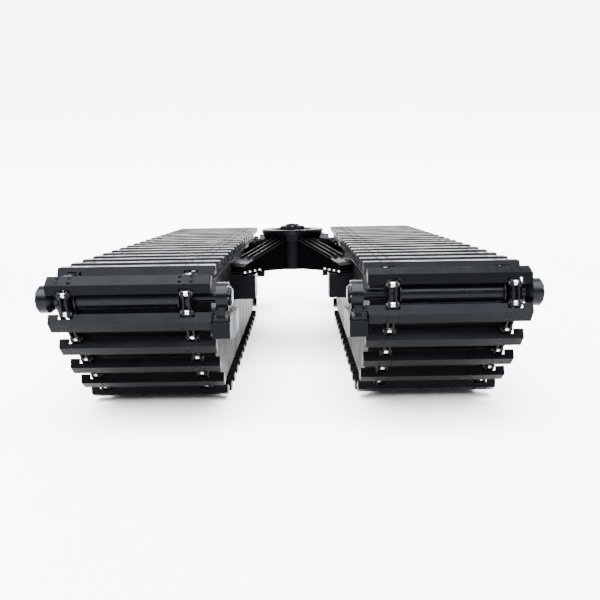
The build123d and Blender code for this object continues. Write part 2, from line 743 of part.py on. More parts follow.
with BuildPart() as drive_shaft:
    tube(SHAFT_IN, SHAFT_OUT, SHAFT_R, 0, WHEEL_Y, WHEEL_Z)
    tube(DRUM_IN, DRUM_OUT, DRUM_R, 0, WHEEL_Y, WHEEL_Z)
    for x in (DRUM_IN, DRUM_OUT - DRUM_DISC_T):
        tube(x, x + DRUM_DISC_T, DRUM_DISC_R, 0, WHEEL_Y, WHEEL_Z)
    flange_in = CHAIN_IN + WHEEL_T / 2
    flange_out = CHAIN_OUT - WHEEL_T / 2
    tube(flange_in, flange_in + FLANGE_T, FLANGE_R, 0, WHEEL_Y, WHEEL_Z)
    tube(flange_in + FLANGE_T, DRUM_IN, NECK_R, 0, WHEEL_Y, WHEEL_Z)
    tube(flange_out - FLANGE_T, flange_out, FLANGE_R, 0, WHEEL_Y, WHEEL_Z)
    tube(DRUM_OUT, flange_out - FLANGE_T, NECK_R, 0, WHEEL_Y, WHEEL_Z)
    cavity = (DRUM_IN + 2 * DRUM_DISC_T, DRUM_OUT - 2 * DRUM_DISC_T)
    tube(*cavity, DRIVE_CAVITY_R, 0, WHEEL_Y, WHEEL_Z, mode=Mode.SUBTRACT)
    for x in (flange_in, flange_out - FLANGE_T):
        with BuildSketch(across(x)):
            with Locations((WHEEL_Y, WHEEL_Z)):
                with PolarLocations(SPROCKET_BOLT_CIRCLE, SPROCKET_BOLTS):
                    Circle(SPROCKET_BOLT_R + FIT)
        extrude(amount=FLANGE_T, mode=Mode.SUBTRACT)
write_pair(drive_shaft.part, "drive_shaft")

with BuildPart() as sprocket_bolts:
    for x, way in ((flange_in, -1), (flange_out, 1)):
        head_x = x + way * WHEEL_T
        with BuildSketch(across(x - way * FLANGE_T)):
            with Locations((WHEEL_Y, WHEEL_Z)):
                with PolarLocations(SPROCKET_BOLT_CIRCLE, SPROCKET_BOLTS):
                    Circle(SPROCKET_BOLT_R)
        extrude(amount=way * (WHEEL_T + FLANGE_T))
        with BuildSketch(across(head_x)):
            with Locations((WHEEL_Y, WHEEL_Z)):
                with PolarLocations(SPROCKET_BOLT_CIRCLE, SPROCKET_BOLTS):
                    RegularPolygon(1.6 * SPROCKET_BOLT_R, 6)
        extrude(amount=way * 10)
write_pair(sprocket_bolts.part, "sprocket_bolts")

with BuildPart() as drive_bearings:
    inboard_housing(WHEEL_Y)
    slab(across(SEAT_X[0]), seat_section(1, 0), SEAT_X[1] - SEAT_X[0])
    with Locations(((SEAT_X[0] + SEAT_X[1]) / 2, WHEEL_Y, SEAT_Z)):
        Box(SEAT_X[1] - SEAT_X[0], 2 * FOOT_Y, 2 * FOOT_T)
    with Locations(((SEAT_X[1] + HULL_IN) / 2, (SEAT_BACK + DECK_Y) / 2, SEAT_Z - SEAT_LINK_H / 2)):
        Box(HULL_IN - SEAT_X[1], DECK_Y - SEAT_BACK, SEAT_LINK_H)
    outboard_housing(WHEEL_Y, -1)
    with Locations(((HULL_OUT + ARM_X[0]) / 2, WHEEL_Y - ARM_LENGTH + 60, ROD_Z)):
        Box(ARM_X[0] - HULL_OUT, 120, ARM_Z[1] - ARM_Z[0])
write_pair(drive_bearings.part, "drive_bearings")

with BuildPart() as drive_covers:
    outboard_cover(WHEEL_Y)
    chamfer(drive_covers.faces().sort_by(Axis.X)[-1].edges(), 5)
    round_bolts(CAP_X[1] + COVER_T, COVER_OUT_BOLT_R, WHEEL_Y)
    mirror(about=Plane.YZ)
write(drive_covers.part, "drive_covers")

GEARBOX_X = (440.0, 605.0)
GEARBOX_R = (118.0, 145.0, 165.0)  # cover, ring gear case, mounting flange
GEARBOX_FLANGE_T = 24.0
GEARBOX_COVER_T = 60.0
GEARBOX_BOLT_R = 9.0
GEARBOX_BOLT_T = 10.0
GEARBOX_BOLTS = 16
MOTOR_X = 270.0
MOTOR_R = (72.0, 95.0)  # case and flange
MOTOR_FLANGE_T = 20.0
MOTOR_BLOCK = (50.0, 150.0)  # thickness and side of the port block
MOTOR_PORT = (18.0, 30.0)  # radius and height of a port
MOTOR_PORT_Y = 45.0

with BuildPart() as drive_gearbox:
    flange_x = GEARBOX_X[1] - GEARBOX_FLANGE_T
    case_x = GEARBOX_X[0] + GEARBOX_COVER_T
    tube(flange_x, GEARBOX_X[1], GEARBOX_R[2], 0, WHEEL_Y, WHEEL_Z)
    tube(case_x, flange_x, GEARBOX_R[1], 0, WHEEL_Y, WHEEL_Z)
    tube(GEARBOX_X[0], case_x, GEARBOX_R[0], 0, WHEEL_Y, WHEEL_Z)
    chamfer(drive_gearbox.faces().sort_by(Axis.X)[0].edges(), 12)
    for x, outer in ((flange_x, GEARBOX_R[2]), (case_x, GEARBOX_R[1])):
        with BuildSketch(across(x - GEARBOX_BOLT_T)):
            with Locations((WHEEL_Y, WHEEL_Z)):
                with PolarLocations(outer - 14, GEARBOX_BOLTS):
                    RegularPolygon(GEARBOX_BOLT_R, 6)
        extrude(amount=GEARBOX_BOLT_T)
write_pair(drive_gearbox.part, "drive_gearbox")

with BuildPart() as drive_motor:
    block_x = MOTOR_X + MOTOR_BLOCK[0] / 2
    flange_x = GEARBOX_X[0] - MOTOR_FLANGE_T
    tube(flange_x, GEARBOX_X[0], MOTOR_R[1], 0, WHEEL_Y, WHEEL_Z)
    tube(MOTOR_X + MOTOR_BLOCK[0], flange_x, MOTOR_R[0], 0, WHEEL_Y, WHEEL_Z)
    with Locations((block_x, WHEEL_Y, WHEEL_Z)):
        Box(MOTOR_BLOCK[0], MOTOR_BLOCK[1], MOTOR_BLOCK[1])
    fillet(drive_motor.faces().sort_by(Axis.X)[0].edges(), 12)
    port_z = WHEEL_Z + MOTOR_BLOCK[1] / 2
    with Locations(*[(block_x, WHEEL_Y + y, port_z) for y in (-MOTOR_PORT_Y, MOTOR_PORT_Y)]):
        Cylinder(*MOTOR_PORT, align=(Align.CENTER, Align.CENTER, Align.MIN))
write_pair(drive_motor.part, "drive_motor")

# ---- centre frame ---------------------------------------------------------------------------------

SOCKET_Y = 1150.0
SOCKET_X = 640.0  # middle of a leg's end flange
SOCKET_TOP = 1280.0
SOCKET_SIZE = (320.0, 440.0, 310.0)
SOCKET_WALL = 16.0
FLANGE_LENGTH = 400.0
FLANGE_WIDTH = 290.0
LEG_WIDTH = 250.0
LEG_WALL = 14.0
PEDESTAL_R = 395.0
PEDESTAL_Z = (1235.0, 1640.0)
NECK_TOP = 1730.0
NECK_TOP_R = 440.0
WELL_R = 290.0

with BuildPart() as frame_sockets:
    for y in (-SOCKET_Y, SOCKET_Y):
        x = HULL_IN - SOCKET_SIZE[0] / 2
        with Locations((x, y, SOCKET_TOP - SOCKET_SIZE[2] / 2)):
            Box(*SOCKET_SIZE)
        with Locations((x, y, SOCKET_TOP - SOCKET_SIZE[2] / 2 - SOCKET_WALL)):
            Box(*[length - 2 * SOCKET_WALL for length in SOCKET_SIZE[:2]], SOCKET_SIZE[2], mode=Mode.SUBTRACT)
write_pair(frame_sockets.part, "frame_sockets")

LEG_ANGLE = degrees(atan2(SOCKET_Y, SOCKET_X))
LEG_REACH = hypot(SOCKET_X, SOCKET_Y)
CORNERS = {
    "front_right": -LEG_ANGLE,
    "rear_right": LEG_ANGLE,
    "rear_left": 180 - LEG_ANGLE,
    "front_left": 180 + LEG_ANGLE,
}


def leg_plane(angle):
    """Upright plane along a leg: its x runs outwards, its y upwards."""
    return Plane(origin=(0, 0, 0), x_dir=(c(angle), s(angle), 0), z_dir=(s(angle), -c(angle), 0))


LEG_TOP = 1680.0
LEG_END_TOP = 1420.0
LEG_FLANGE_T = 28.0
LEG_START = 300.0
LEG_END = LEG_REACH + 170.0


def leg_section(wall):
    """Side view of a leg: level near the pedestal, then sloping down to its end flange."""
    return outline(
        (LEG_START, PEDESTAL_Z[0] + 5 + wall),
        (LEG_REACH - 285, SOCKET_TOP + wall),
        (LEG_REACH - 150, SOCKET_TOP + LEG_FLANGE_T + wall),
        (LEG_END - wall, SOCKET_TOP + LEG_FLANGE_T + wall),
        (LEG_END - wall, LEG_END_TOP - wall - 30),
        (LEG_END - 60 - wall, LEG_END_TOP - wall),
        (LEG_START, LEG_TOP - wall),
    )


RIB_T = 14.0
RIB_H = 34.0
RIB_OFFSETS = (-95.0, 0.0, 95.0)
RIB_START = PEDESTAL_R + 8.0
RIB_END = LEG_REACH - 60.0
LEG_SLOPE = (LEG_TOP - LEG_END_TOP) / (LEG_END - 60 - LEG_START)


def leg_top(reach):
    """Height of a leg's sloping top plate at a distance from the slewing axis."""
    return LEG_TOP - LEG_SLOPE * (reach - LEG_START)


RIB = outline(
    (RIB_START, leg_top(RIB_START) - 2),
    (RIB_END, leg_top(RIB_END) - 2),
    (RIB_END - 40, leg_top(RIB_END - 40) + RIB_H),
    (RIB_START + 20, leg_top(RIB_START + 20) + RIB_H),
)

LEG_GAP = 0.5  # weld gap between a leg and the pedestal
with BuildPart() as pedestal_space:
    with BuildSketch(Plane.XZ):
        with BuildLine():
            Polyline(
                (0, 0),
                (PEDESTAL_R + LEG_GAP, 0),
                (PEDESTAL_R + LEG_GAP, PEDESTAL_Z[1]),
                (NECK_TOP_R + LEG_GAP, NECK_TOP),
                (0, NECK_TOP),
                close=True,
            )
        make_face()
    revolve(axis=Axis.Z)

for corner, angle in CORNERS.items():
    upright = leg_plane(angle)
    with BuildPart() as frame_leg:
        slab(upright.offset(-LEG_WIDTH / 2), leg_section(0), LEG_WIDTH)
        hollow = upright.offset(-LEG_WIDTH / 2 + LEG_WALL)
        slab(hollow, leg_section(LEG_WALL), LEG_WIDTH - 2 * LEG_WALL, mode=Mode.SUBTRACT)
        for shift in RIB_OFFSETS:
            slab(upright.offset(shift - RIB_T / 2), RIB, RIB_T)
        with Locations(Location((0, 0, SOCKET_TOP), (0, 0, angle)) * Location((LEG_REACH, 0, 0))):
            Box(FLANGE_LENGTH, FLANGE_WIDTH, LEG_FLANGE_T, align=(Align.CENTER, Align.CENTER, Align.MIN))
        add(pedestal_space.part, mode=Mode.SUBTRACT)
        with Locations((HULL_IN + LEG_WIDTH / 2, 0, SOCKET_TOP), (-HULL_IN - LEG_WIDTH / 2, 0, SOCKET_TOP)):
            Box(LEG_WIDTH, 4 * SOCKET_Y, 2 * SOCKET_TOP, mode=Mode.SUBTRACT)
    write(frame_leg.part, f"frame_leg_{corner}")

with BuildPart() as frame_pedestal:
    with BuildSketch(Plane.XZ):
        with BuildLine():
            Polyline(
                (WELL_R, PEDESTAL_Z[0]),
                (PEDESTAL_R, PEDESTAL_Z[0]),
                (PEDESTAL_R, PEDESTAL_Z[1]),
                (NECK_TOP_R, NECK_TOP),
                (WELL_R, NECK_TOP),
                close=True,
            )
        make_face()
    revolve(axis=Axis.Z)
    with Locations((0, 0, PEDESTAL_Z[0])):
        Cylinder(WELL_R, 16, align=(Align.CENTER, Align.CENTER, Align.MIN))
write(frame_pedestal.part, "frame_pedestal")

FLANGE_BOLT_R = 9.0
FLANGE_BOLT_T = 20.0
FLANGE_BOLT_X = (-175.0, -60.0, 60.0, 175.0)
FLANGE_BOLT_Y = 134.0
KEEPER_BOLT_R = 7.0

# One bolt of each flange is left out, where the hull side cuts the flange's corner off.
with BuildPart() as bracket_bolts:
    for angle in CORNERS.values():
        flange = Location((0, 0, SOCKET_TOP + LEG_FLANGE_T), (0, 0, angle)) * Location((LEG_REACH, 0, 0))
        spots = [flange * Location((x, y, 0)) for x in FLANGE_BOLT_X for y in (-FLANGE_BOLT_Y, FLANGE_BOLT_Y)]
        with Locations(*[spot for spot in spots if abs(spot.position.X) < HULL_IN - FLANGE_BOLT_R]):
            Cylinder(FLANGE_BOLT_R, FLANGE_BOLT_T, align=(Align.CENTER, Align.CENTER, Align.MIN))
    keeper_top = FOOT_Z + FOOT_T + 0.5 + KEEPER_H
    for sign in SIDES.values():
        for x in (SEAT_X[0] + 12, SEAT_X[1] - 7):
            for y in (-WHEEL_Y - 130, -WHEEL_Y + 150):
                with Locations((sign * x, y, keeper_top)):
                    Cylinder(KEEPER_BOLT_R, KEEPER_H, align=(Align.CENTER, Align.CENTER, Align.MIN))
write(bracket_bolts.part, "bracket_bolts")

EYE_Y = 1950.0
EYE_Z = 1400.0
EYE_R = 34.0
EYE_PLATE_R = 66.0
EYE_X = 724.0
EYE_T = 24.0

with BuildPart() as lashing_eyes:
    for sign in SIDES.values():
        with BuildSketch(Plane.XZ.offset(-EYE_Y)):
            with Locations((sign * EYE_X, EYE_Z)):
                Circle(EYE_PLATE_R)
            with Locations((sign * (EYE_X + HULL_IN) / 2, EYE_Z)):
                Rectangle(HULL_IN - EYE_X, 2 * EYE_PLATE_R)
            with Locations((sign * EYE_X, EYE_Z)):
                Circle(EYE_R, mode=Mode.SUBTRACT)
        extrude(amount=EYE_T / 2, both=True)
write(lashing_eyes.part, "lashing_eyes")

# ---- slewing ring and swivel ----------------------------------------------------------------------

RING_R = 455.0
RING_SEAM_R = 376.0  # ball circle
RING_SEAM = 3.0  # half gap between the rings
RING_TOP = 1800.0
INNER_RING_TOP = 1792.0
OUTER_RING_Z = 1736.0
GEAR_R = 300.0
GEAR_TEETH = 60
TOOTH_H = 18.0
BALL_R = 16.0
BALL_Z = 1768.0
RACE_R = 16.4
BALLS = 48
RING_BOLTS = 24
RING_BOLT_CIRCLE = 424.0
RING_BOLT_R = 10.0

with BuildPart() as slew_inner_ring:
    with BuildSketch(Plane.XY.offset(NECK_TOP)):
        Circle(RING_SEAM_R - RING_SEAM)
        Circle(GEAR_R + TOOTH_H, mode=Mode.SUBTRACT)
        with PolarLocations(GEAR_R + TOOTH_H / 2 + 1, GEAR_TEETH):
            Trapezoid(16, TOOTH_H + 4, 76, rotation=90)
    extrude(amount=INNER_RING_TOP - NECK_TOP)
    with BuildSketch(Plane.XZ):
        with Locations((RING_SEAM_R, BALL_Z)):
            Circle(RACE_R)
    revolve(axis=Axis.Z, mode=Mode.SUBTRACT)
write(slew_inner_ring.part, "slew_inner_ring")

with BuildPart() as slew_outer_ring:
    with BuildSketch(Plane.XZ):
        with BuildLine():
            Polyline(
                (RING_SEAM_R + RING_SEAM, OUTER_RING_Z),
                (RING_R - 12, OUTER_RING_Z),
                (RING_R, RING_TOP - 26),
                (RING_R, RING_TOP),
                (RING_SEAM_R + RING_SEAM, RING_TOP),
                close=True,
            )
        make_face()
    revolve(axis=Axis.Z)
    with BuildSketch(Plane.XZ):
        with Locations((RING_SEAM_R, BALL_Z)):
            Circle(RACE_R)
    revolve(axis=Axis.Z, mode=Mode.SUBTRACT)
    with Locations(Plane.XY.offset(RING_TOP)):
        with PolarLocations(RING_BOLT_CIRCLE, RING_BOLTS):
            Hole(RING_BOLT_R, depth=40)
write(slew_outer_ring.part, "slew_outer_ring")

with BuildPart() as slew_balls:
    with Locations((0, 0, BALL_Z)):
        with PolarLocations(RING_SEAM_R, BALLS):
            Sphere(BALL_R)
write(slew_balls.part, "slew_balls")

SWIVEL_R = 100.0
SWIVEL_BASE_R = 165.0
STEM_R = 52.0
STEM_BOTTOM = 1420.0
SWIVEL_TOP = 1790.0
HEAD_Z = (1794.0, 1848.0)
HEAD_RADIUS = 118.0
STEM_BORE = 500.0
PORT_LEVELS = (1480.0, 1560.0, 1640.0)
PORT_R = 18.0

with BuildPart() as swivel_housing:
    with Locations((0, 0, PEDESTAL_Z[0] + 16)):
        Cylinder(SWIVEL_BASE_R, 24, align=(Align.CENTER, Align.CENTER, Align.MIN))
        Cylinder(SWIVEL_R, SWIVEL_TOP - PEDESTAL_Z[0] - 16, align=(Align.CENTER, Align.CENTER, Align.MIN))
    for level, z in enumerate(PORT_LEVELS):
        with Locations((0, 0, z)):
            with PolarLocations(SWIVEL_R - 6, 4, start_angle=30 * level):
                Cylinder(PORT_R, 60, rotation=(0, 90, 0))
    with Locations((0, 0, STEM_BOTTOM - 0.5)):
        Cylinder(STEM_R + FIT, STEM_BORE, align=(Align.CENTER, Align.CENTER, Align.MIN), mode=Mode.SUBTRACT)
write(swivel_housing.part, "swivel_housing")

with BuildPart() as swivel_rotor:
    with Locations((0, 0, STEM_BOTTOM)):
        Cylinder(STEM_R, HEAD_Z[0] - STEM_BOTTOM, align=(Align.CENTER, Align.CENTER, Align.MIN))
    with Locations((0, 0, HEAD_Z[0])):
        Cylinder(HEAD_RADIUS, HEAD_Z[1] - HEAD_Z[0], align=(Align.CENTER, Align.CENTER, Align.MIN))
    with Locations((0, 0, (HEAD_Z[0] + HEAD_Z[1]) / 2)):
        with PolarLocations(HEAD_RADIUS + 14, 8):
            Cylinder(21, 92, rotation=(0, 90, 0))
    with Locations((0, 0, HEAD_Z[1])):
        with PolarLocations(72, 6):
            Cylinder(20, 24, align=(Align.CENTER, Align.CENTER, Align.MIN))
        Cylinder(30, 30, align=(Align.CENTER, Align.CENTER, Align.MIN))
write(swivel_rotor.part, "swivel_rotor")
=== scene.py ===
"""Looks of the amphibious tracked undercarriage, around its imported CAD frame.

Metres, +Z up, -Y the idler end, +X the right-hand track.
"""

from math import cos, pi, radians, sin

import bmesh
import bpy
from mathutils import Matrix, Vector


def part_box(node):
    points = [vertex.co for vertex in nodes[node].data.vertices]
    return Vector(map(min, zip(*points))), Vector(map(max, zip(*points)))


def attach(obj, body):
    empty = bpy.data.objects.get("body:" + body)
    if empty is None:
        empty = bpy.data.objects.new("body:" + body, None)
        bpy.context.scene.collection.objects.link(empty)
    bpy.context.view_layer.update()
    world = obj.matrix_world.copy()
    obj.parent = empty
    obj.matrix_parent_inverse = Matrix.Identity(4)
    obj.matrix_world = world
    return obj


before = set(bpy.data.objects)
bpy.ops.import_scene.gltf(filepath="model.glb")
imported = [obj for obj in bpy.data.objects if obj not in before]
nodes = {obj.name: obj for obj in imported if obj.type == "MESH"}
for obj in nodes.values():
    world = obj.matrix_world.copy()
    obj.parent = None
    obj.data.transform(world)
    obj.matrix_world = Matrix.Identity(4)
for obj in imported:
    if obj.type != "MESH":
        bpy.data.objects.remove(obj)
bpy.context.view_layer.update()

SIDES = {"left": -1, "right": 1}

# ---- node materials -----------------------------------------------------------------------------


class Shader:
    """Node tree of one material, with short calls for the nodes it is made of."""

    def __init__(self, name):
        self.material = bpy.data.materials.new(name)
        self.material.use_nodes = True
        self.tree = self.material.node_tree
        self.tree.nodes.clear()
        output = self.node("ShaderNodeOutputMaterial")
        self.bsdf = self.node("ShaderNodeBsdfPrincipled")
        self.link(self.bsdf.outputs["BSDF"], output.inputs["Surface"])
        self.place = self.node("ShaderNodeTexCoord").outputs["Object"]
        self.geometry = self.node("ShaderNodeNewGeometry")

    def node(self, kind):
        return self.tree.nodes.new(kind)

    def link(self, source, target):
        self.tree.links.new(source, target)

    def put(self, socket, value):
        if isinstance(value, bpy.types.NodeSocket):
            self.link(value, socket)
        else:
            socket.default_value = value

    def noise(self, scale, detail=4.0, stretch=(1, 1, 1), rough=0.55):
        """Noise over the object's own coordinates, stretched along axes."""
        mapping = self.node("ShaderNodeMapping")
        self.link(self.place, mapping.inputs["Vector"])
        mapping.inputs["Scale"].default_value = stretch
        texture = self.node("ShaderNodeTexNoise")
        self.link(mapping.outputs["Vector"], texture.inputs["Vector"])
        texture.inputs["Scale"].default_value = scale
        texture.inputs["Detail"].default_value = detail
        texture.inputs["Roughness"].default_value = rough
        return texture.outputs["Fac"]

    def span(self, value, low, high, new_low=0.0, new_high=1.0):
        """Clamped change of range."""
        node = self.node("ShaderNodeMapRange")
        self.link(value, node.inputs["Value"])
        keys = ("From Min", "From Max", "To Min", "To Max")
        for key, number in zip(keys, (low, high, new_low, new_high)):
            node.inputs[key].default_value = number
        return node.outputs["Result"]

    def math(self, operation, first, second):
        node = self.node("ShaderNodeMath")
        node.operation = operation
        node.use_clamp = True
        self.put(node.inputs[0], first)
        self.put(node.inputs[1], second)
        return node.outputs[0]

    def mix(self, factor, first, second):
        node = self.node("ShaderNodeMix")
        node.data_type = "RGBA"
        self.put(node.inputs["Factor"], factor)
        for key, value in (("A", first), ("B", second)):
            socket = next(s for s in node.inputs if s.name == key and s.type == "RGBA")
            self.put(socket, value if isinstance(value, bpy.types.NodeSocket) else (*value, 1.0))
        return next(s for s in node.outputs if s.type == "RGBA")

    def upward(self):
        """1 on faces that look up, 0 on upright ones."""
        parts = self.node("ShaderNodeSeparateXYZ")
        self.link(self.geometry.outputs["Normal"], parts.inputs[0])
        return self.span(parts.outputs["Z"], 0.35, 0.95)

    def edges(self, radius):
        """Rounded normal, and 1 along sharp edges."""
        bevel = self.node("ShaderNodeBevel")
        bevel.samples = 4
        bevel.inputs["Radius"].default_value = radius
        dot = self.node("ShaderNodeVectorMath")
        dot.operation = "DOT_PRODUCT"
        self.link(bevel.outputs["Normal"], dot.inputs[0])
        self.link(self.geometry.outputs["Normal"], dot.inputs[1])
        return bevel.outputs["Normal"], self.span(dot.outputs["Value"], 0.985, 0.80)

    def bump(self, height, strength, distance, normal=None):
        node = self.node("ShaderNodeBump")
        node.inputs["Strength"].default_value = strength
        node.inputs["Distance"].default_value = distance
        self.link(height, node.inputs["Height"])
        if normal:
            self.link(normal, node.inputs["Normal"])
        return node.outputs["Normal"]


def paint(name, colour, light, rough, dust=0.15, wear_and_highlight=0.6, worn_and_highlight_tone=(0.10, 0.11, 0.13), streaks=0.0,
          edge=0.003, grain=260.0, specular=0.35, coat=0.15, peel=0.10):
    """Weathered paint: patchy colour, dust on top faces, edges lightened partly as rubbed paint and partly as
    a painted highlight, streaks and orange peel.
    """
    sh = Shader(name)
    patches = sh.noise(1.6, 6.0)
    tone = sh.mix(sh.span(patches, 0.35, 0.68), colour, light)
    island = sh.span(sh.geometry.outputs["Random Per Island"], 0.0, 1.0, 0.0, 0.45)
    tone = sh.mix(island, tone, tuple(1.25 * c for c in colour))
    if streaks:
        run = sh.span(sh.noise(9.0, 5.0, (1.0, 1.0, 0.10)), 0.50, 0.72)
        tone = sh.mix(sh.math("MULTIPLY", run, streaks), tone, tuple(2.6 * c for c in light))
    powder = sh.math("MULTIPLY", sh.upward(), sh.span(sh.noise(5.0, 8.0), 0.42, 0.70, 0.15, 1.0))
    powder = sh.math("MULTIPLY", powder, dust)
    tone = sh.mix(powder, tone, (0.16, 0.17, 0.19))
    rounded, sharp = sh.edges(edge)
    # Edges lightened towards the worn tone: partly rubbed paint, partly a painted highlight along the edges.
    rub_and_highlight = sh.math("MULTIPLY", sharp, sh.span(sh.noise(22.0, 6.0), 0.44, 0.62))
    rub_and_highlight = sh.math("MULTIPLY", rub_and_highlight, wear_and_highlight)
    tone = sh.mix(rub_and_highlight, tone, worn_and_highlight_tone)
    sh.link(tone, sh.bsdf.inputs["Base Color"])
    smear = sh.span(sh.noise(3.2, 7.0), 0.30, 0.72, rough - 0.09, rough + 0.12)
    sh.link(sh.math("ADD", smear, sh.math("MULTIPLY", powder, 0.8)), sh.bsdf.inputs["Roughness"])
    skin = sh.bump(sh.noise(grain, 2.0), peel, 0.0012, rounded)
    skin = sh.bump(sh.noise(7.0, 3.0), 0.12, 0.004, skin)
    sh.link(skin, sh.bsdf.inputs["Normal"])
    sh.bsdf.inputs["Specular IOR Level"].default_value = specular
    # Bluish specular tint: a painted blue sheen on the reflections, standing in for the colour of the
    # surrounding light.
    sh.bsdf.inputs["Specular Tint"].default_value = (0.80, 0.88, 1.0, 1.0)
    sh.bsdf.inputs["Coat Weight"].default_value = coat
    sh.bsdf.inputs["Coat Roughness"].default_value = 0.22
    return sh.material


def steel(name, colour, dark, rough, grime=0.5, edge=0.0015, metallic=1.0, grain=180.0):
    """Bare or plated steel: rubbed tone, oily grime in patches, fine turning marks."""
    sh = Shader(name)
    tone = sh.mix(sh.span(sh.noise(30.0, 5.0), 0.40, 0.66), colour, tuple(0.72 * c for c in colour))
    dirt = sh.math("MULTIPLY", sh.span(sh.noise(11.0, 7.0), 0.46, 0.66), grime)
    tone = sh.mix(dirt, tone, dark)
    island = sh.span(sh.geometry.outputs["Random Per Island"], 0.0, 1.0, 0.0, 0.35)
    tone = sh.mix(island, tone, dark)
    sh.link(tone, sh.bsdf.inputs["Base Color"])
    sh.link(sh.math("ADD", sh.span(sh.noise(60.0, 4.0), 0.3, 0.7, rough - 0.06, rough + 0.10),
                    sh.math("MULTIPLY", dirt, 0.3)), sh.bsdf.inputs["Roughness"])
    rounded = sh.edges(edge)[0]
    marks = sh.noise(grain, 3.0, (5.0, 1.0, 1.0))
    sh.link(sh.bump(marks, 0.10, 0.0006, rounded), sh.bsdf.inputs["Normal"])
    sh.bsdf.inputs["Metallic"].default_value = metallic
    return sh.material


def casting(name, colour, rough):
    """Painted casting: pebbly skin with a dull sheen."""
    sh = Shader(name)
    tone = sh.mix(sh.span(sh.noise(14.0, 6.0), 0.38, 0.66), colour, tuple(1.9 * c for c in colour))
    rounded, sharp = sh.edges(0.003)
    # Edges lightened to pale grey: partly rubbed paint, partly a painted highlight along the edges.
    rub_and_highlight = sh.math("MULTIPLY", sharp, sh.span(sh.noise(30.0, 5.0), 0.42, 0.60, 0.0, 0.55))
    sh.link(sh.mix(rub_and_highlight, tone, (0.17, 0.17, 0.18)), sh.bsdf.inputs["Base Color"])
    smear = sh.span(sh.noise(8.0, 6.0), 0.3, 0.7, rough - 0.08, rough + 0.12)
    sh.link(smear, sh.bsdf.inputs["Roughness"])
    sh.link(sh.bump(sh.noise(120.0, 5.0), 0.35, 0.002, rounded), sh.bsdf.inputs["Normal"])
    sh.bsdf.inputs["Specular IOR Level"].default_value = 0.08
    return sh.material


SHOE = paint("shoe paint", (0.0005, 0.0006, 0.0008), (0.0010, 0.0011, 0.0015), 0.33, dust=0.02,
             wear_and_highlight=0.08,
             specular=0.035, coat=0.0)
HULL = paint("hull paint", (0.0016, 0.0016, 0.0017), (0.0032, 0.0031, 0.0032), 0.50, dust=0.05,
             wear_and_highlight=0.08, streaks=0.35, specular=0.05, coat=0.0)
BOW = paint("deck paint", (0.0008, 0.0009, 0.0012), (0.0016, 0.0018, 0.0023), 0.38, dust=0.05,
            wear_and_highlight=0.08, streaks=0.10, specular=0.05, coat=0.0)
FRAME_PAINT = paint("frame paint", (0.0005, 0.0006, 0.0008), (0.0011, 0.0012, 0.0016), 0.32,
                    dust=0.03, wear_and_highlight=0.14,
                    specular=0.05, coat=0.0)
AXLE = paint("axle paint", (0.0007, 0.0009, 0.0012), (0.0014, 0.0017, 0.0023), 0.27, dust=0.02,
             wear_and_highlight=0.14,
             specular=0.08, coat=0.01)
RING = paint("ring paint", (0.0009, 0.0011, 0.0015), (0.0019, 0.0022, 0.0028), 0.28, dust=0.04,
             wear_and_highlight=0.30,
             specular=0.08, coat=0.01)
LINK = paint("link steel", (0.0016, 0.0016, 0.0019), (0.0040, 0.0040, 0.0044), 0.34, dust=0.0,
             wear_and_highlight=0.30,
             worn_and_highlight_tone=(0.09, 0.09, 0.095), edge=0.002, specular=0.06, coat=0.0)
BRIGHT = steel("bright steel", (0.62, 0.62, 0.63), (0.20, 0.19, 0.18), 0.24, grime=0.35)
BOLT = steel("plated bolt", (0.060, 0.062, 0.068), (0.012, 0.012, 0.012), 0.32, grime=0.6)
SHOE_BOLT = steel("shoe bolt", (0.0045, 0.0046, 0.0055), (0.0010, 0.0010, 0.0012), 0.50, grime=0.8)
PIN = steel("pin steel", (0.040, 0.040, 0.042), (0.008, 0.008, 0.008), 0.34, grime=0.8)
CAST = casting("casting", (0.0022, 0.0025, 0.0034), 0.40)

LOOKS = {
    SHOE: ["*track_shoes", "shoe_pads"],
    HULL: ["*hull_tub", "hull_bulkheads"],
    BOW: ["*hull_deck", "deck_hatches"],
    FRAME_PAINT: ["frame_leg_front_left", "frame_leg_front_right", "frame_leg_rear_left",
                  "frame_leg_rear_right", "frame_pedestal", "lashing_eyes", "*frame_sockets", "*idler_seats"],
    AXLE: ["*idler_shaft", "*idler_drum", "*idler_wheels", "*idler_bearings", "*idler_covers", "*drive_shaft",
           "*drive_bearings", "drive_covers", "*drive_gearbox"],
    RING: ["slew_inner_ring", "slew_outer_ring"],
    LINK: ["narrow_link_plates", "wide_link_plates", "chain_rails", "*sprockets"],
    BRIGHT: ["chain_bushings", "slew_balls", "*tension_rods"],
    PIN: ["chain_pins"],
    BOLT: ["*idler_bolts", "*sprocket_bolts", "bracket_bolts"],
    SHOE_BOLT: ["shoe_bolts"],
    CAST: ["swivel_housing", "swivel_rotor", "*drive_motor", "*tension_cylinders"],
}


def dress(piece, material):
    """One material on all of a piece."""
    piece.data.materials.clear()
    piece.data.materials.append(material)


for look, names in LOOKS.items():
    for name in names:
        for node in [side + name[1:] for side in ("left_", "right_")] if name[0] == "*" else [name]:
            dress(nodes[node], look)

# ---- detail pieces ------------------------------------------------------------------------------


def finished(name, bm, body, material, smooth=False):
    """Piece from a bmesh, riding on a body."""
    bmesh.ops.recalc_face_normals(bm, faces=bm.faces)
    mesh = bpy.data.meshes.new(name)
    bm.to_mesh(mesh)
    bm.free()
    for face in mesh.polygons:
        face.use_smooth = smooth
    piece = bpy.data.objects.new(name, mesh)
    bpy.context.scene.collection.objects.link(piece)
    dress(piece, material)
    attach(piece, body)
    return piece


